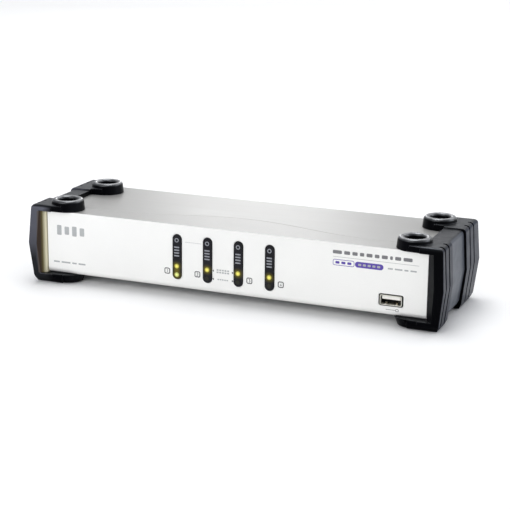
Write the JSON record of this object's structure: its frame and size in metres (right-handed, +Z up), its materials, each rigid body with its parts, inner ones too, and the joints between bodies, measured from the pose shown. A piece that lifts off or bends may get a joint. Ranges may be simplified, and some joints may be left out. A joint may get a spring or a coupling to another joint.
{
  "type": "kvm switch",
  "caption": "Low, wide desktop KVM switch with upright lit pushbuttons, a front USB socket, ribbed end brackets with stacking rings, and rear console and computer sockets.",
  "frame": {"origin": "centre of the overall footprint, on the surface that the foot pads stand on", "axes": "+X to the right seen from the front, +Y from the front to the rear, +Z up"},
  "size_m": [0.272, 0.088, 0.054],
  "materials": {
    "chassis_steel": "satin, zinc-coated and clear-painted steel",
    "cover_paint": "fine-textured grey-silver paint",
    "bezel_silver": "satin silver-white paint",
    "bracket_plastic": "fine-grained satin black",
    "pad_rubber": "matt",
    "screw_black": "black oxide",
    "screw_steel": "nickel-plated",
    "board_green": "solder mask",
    "brass": "turned",
    "black_plastic": "moulded",
    "led_white": "clear resin over a chip",
    "shell_steel": "nickel-plated stamped steel",
    "insert_white": "moulded",
    "insert_blue": "moulded",
    "insert_yellow": "moulded",
    "insert_purple": "moulded",
    "insert_green": "moulded",
    "jack_green": "moulded",
    "jack_pink": "moulded",
    "button_gloss": "polished black",
    "light_pipe": "clear, tinted by the light behind it",
    "capacitor_sleeve": "shrunk sleeve",
    "ribbon_grey": "flexible sleeve"
  },
  "bodies": {
    "case": {"base_chassis": "chassis_steel", "top_cover": "cover_paint", "front_bezel": "bezel_silver", "left_end_bracket": "bracket_plastic", "right_end_bracket": "bracket_plastic", "foot_pads": "pad_rubber", "bracket_screws": "screw_black", "bezel_screws": "screw_black", "cover_screws": "screw_black", "main_board": "board_green", "front_board": "board_green", "standoffs": "brass", "main_board_screws": "screw_steel", "front_board_screws": "screw_steel", "switch_bodies": "black_plastic", "led_emitters": "led_white", "front_usb_shell": "shell_steel", "front_usb_insert": "insert_white", "console_video_shell": "shell_steel", "console_video_insert": "insert_blue", "jack_nuts": "screw_steel", "console_usb_shell": "shell_steel", "console_usb_insert": "insert_white", "ps2_shield": "shell_steel", "ps2_keyboard_insert": "insert_purple", "ps2_mouse_insert": "insert_green", "speaker_jack": "jack_green", "microphone_jack": "jack_pink", "service_jack": "black_plastic", "service_switch_body": "black_plastic", "computer_port_shells": "shell_steel", "computer_port_inserts": "insert_yellow", "dc_jack_body": "black_plastic", "dc_jack_pin": "shell_steel", "ground_screw": "screw_steel", "main_controller": "black_plastic", "switch_chips": "black_plastic", "power_capacitors": "capacitor_sleeve", "crystals": "shell_steel", "buzzer": "black_plastic", "ribbon_headers": "insert_white", "ribbon_cable": "ribbon_grey"},
    "button_1": {"port_button_1": "button_gloss", "light_pipes_1": "light_pipe", "switch_plunger_1": "black_plastic"},
    "button_2": {"port_button_2": "button_gloss", "light_pipes_2": "light_pipe", "switch_plunger_2": "black_plastic"},
    "button_3": {"port_button_3": "button_gloss", "light_pipes_3": "light_pipe", "switch_plunger_3": "black_plastic"},
    "button_4": {"port_button_4": "button_gloss", "light_pipes_4": "light_pipe", "switch_plunger_4": "black_plastic"},
    "service_slider": {"service_switch_slider": "insert_white"}
  },
  "joints": [
    {"name": "press_port_1", "type": "slide", "parent": "case", "child": "button_1", "axis": [0, 1, 0], "range_m": [0, 0.0006], "stiffness_N_per_m": 2200, "springref_m": -0.0004},
    {"name": "press_port_2", "type": "slide", "parent": "case", "child": "button_2", "axis": [0, 1, 0], "range_m": [0, 0.0006], "stiffness_N_per_m": 2200, "springref_m": -0.0004},
    {"name": "press_port_3", "type": "slide", "parent": "case", "child": "button_3", "axis": [0, 1, 0], "range_m": [0, 0.0006], "stiffness_N_per_m": 2200, "springref_m": -0.0004},
    {"name": "press_port_4", "type": "slide", "parent": "case", "child": "button_4", "axis": [0, 1, 0], "range_m": [0, 0.0006], "stiffness_N_per_m": 2200, "springref_m": -0.0004},
    {"name": "slide_service_switch", "type": "slide", "parent": "case", "child": "service_slider", "axis": [1, 0, 0], "range_m": [0, 0.002]}
  ]
}
